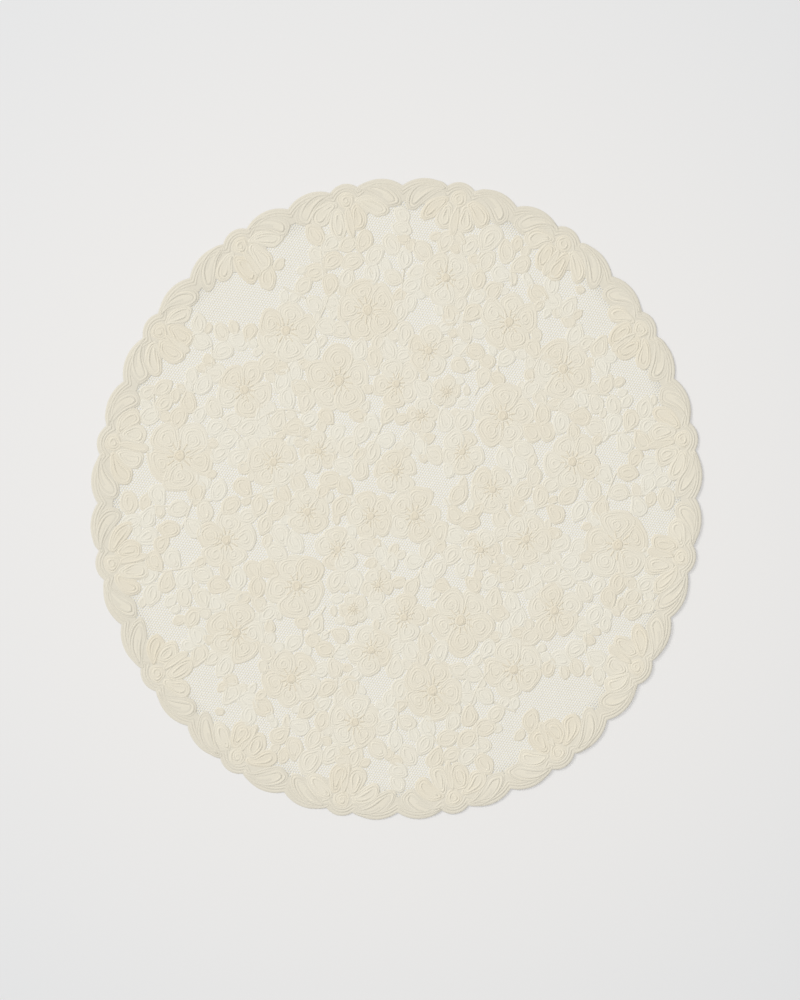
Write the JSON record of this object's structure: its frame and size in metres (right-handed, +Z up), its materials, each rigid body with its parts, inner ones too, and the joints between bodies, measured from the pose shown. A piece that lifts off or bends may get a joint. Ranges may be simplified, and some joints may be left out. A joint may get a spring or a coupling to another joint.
{
  "type": "lace placemat",
  "caption": "Round flat lace placemat of fine ivory net, worked all over with corded flowers and leaf sprigs inside a scalloped corded border.",
  "frame": {"origin": "middle of the mat, on the table it lies on", "axes": "+Z up out of the table, through the cloth's thickness; +Y towards the top of the picture; +X to its right"},
  "size_m": [0.3655, 0.3834, 0.0016],
  "materials": {
    "ivory_lace": "matt ivory cotton thread"
  },
  "bodies": {
    "root": {"lace_mat": "ivory_lace"}
  },
  "joints": []
}
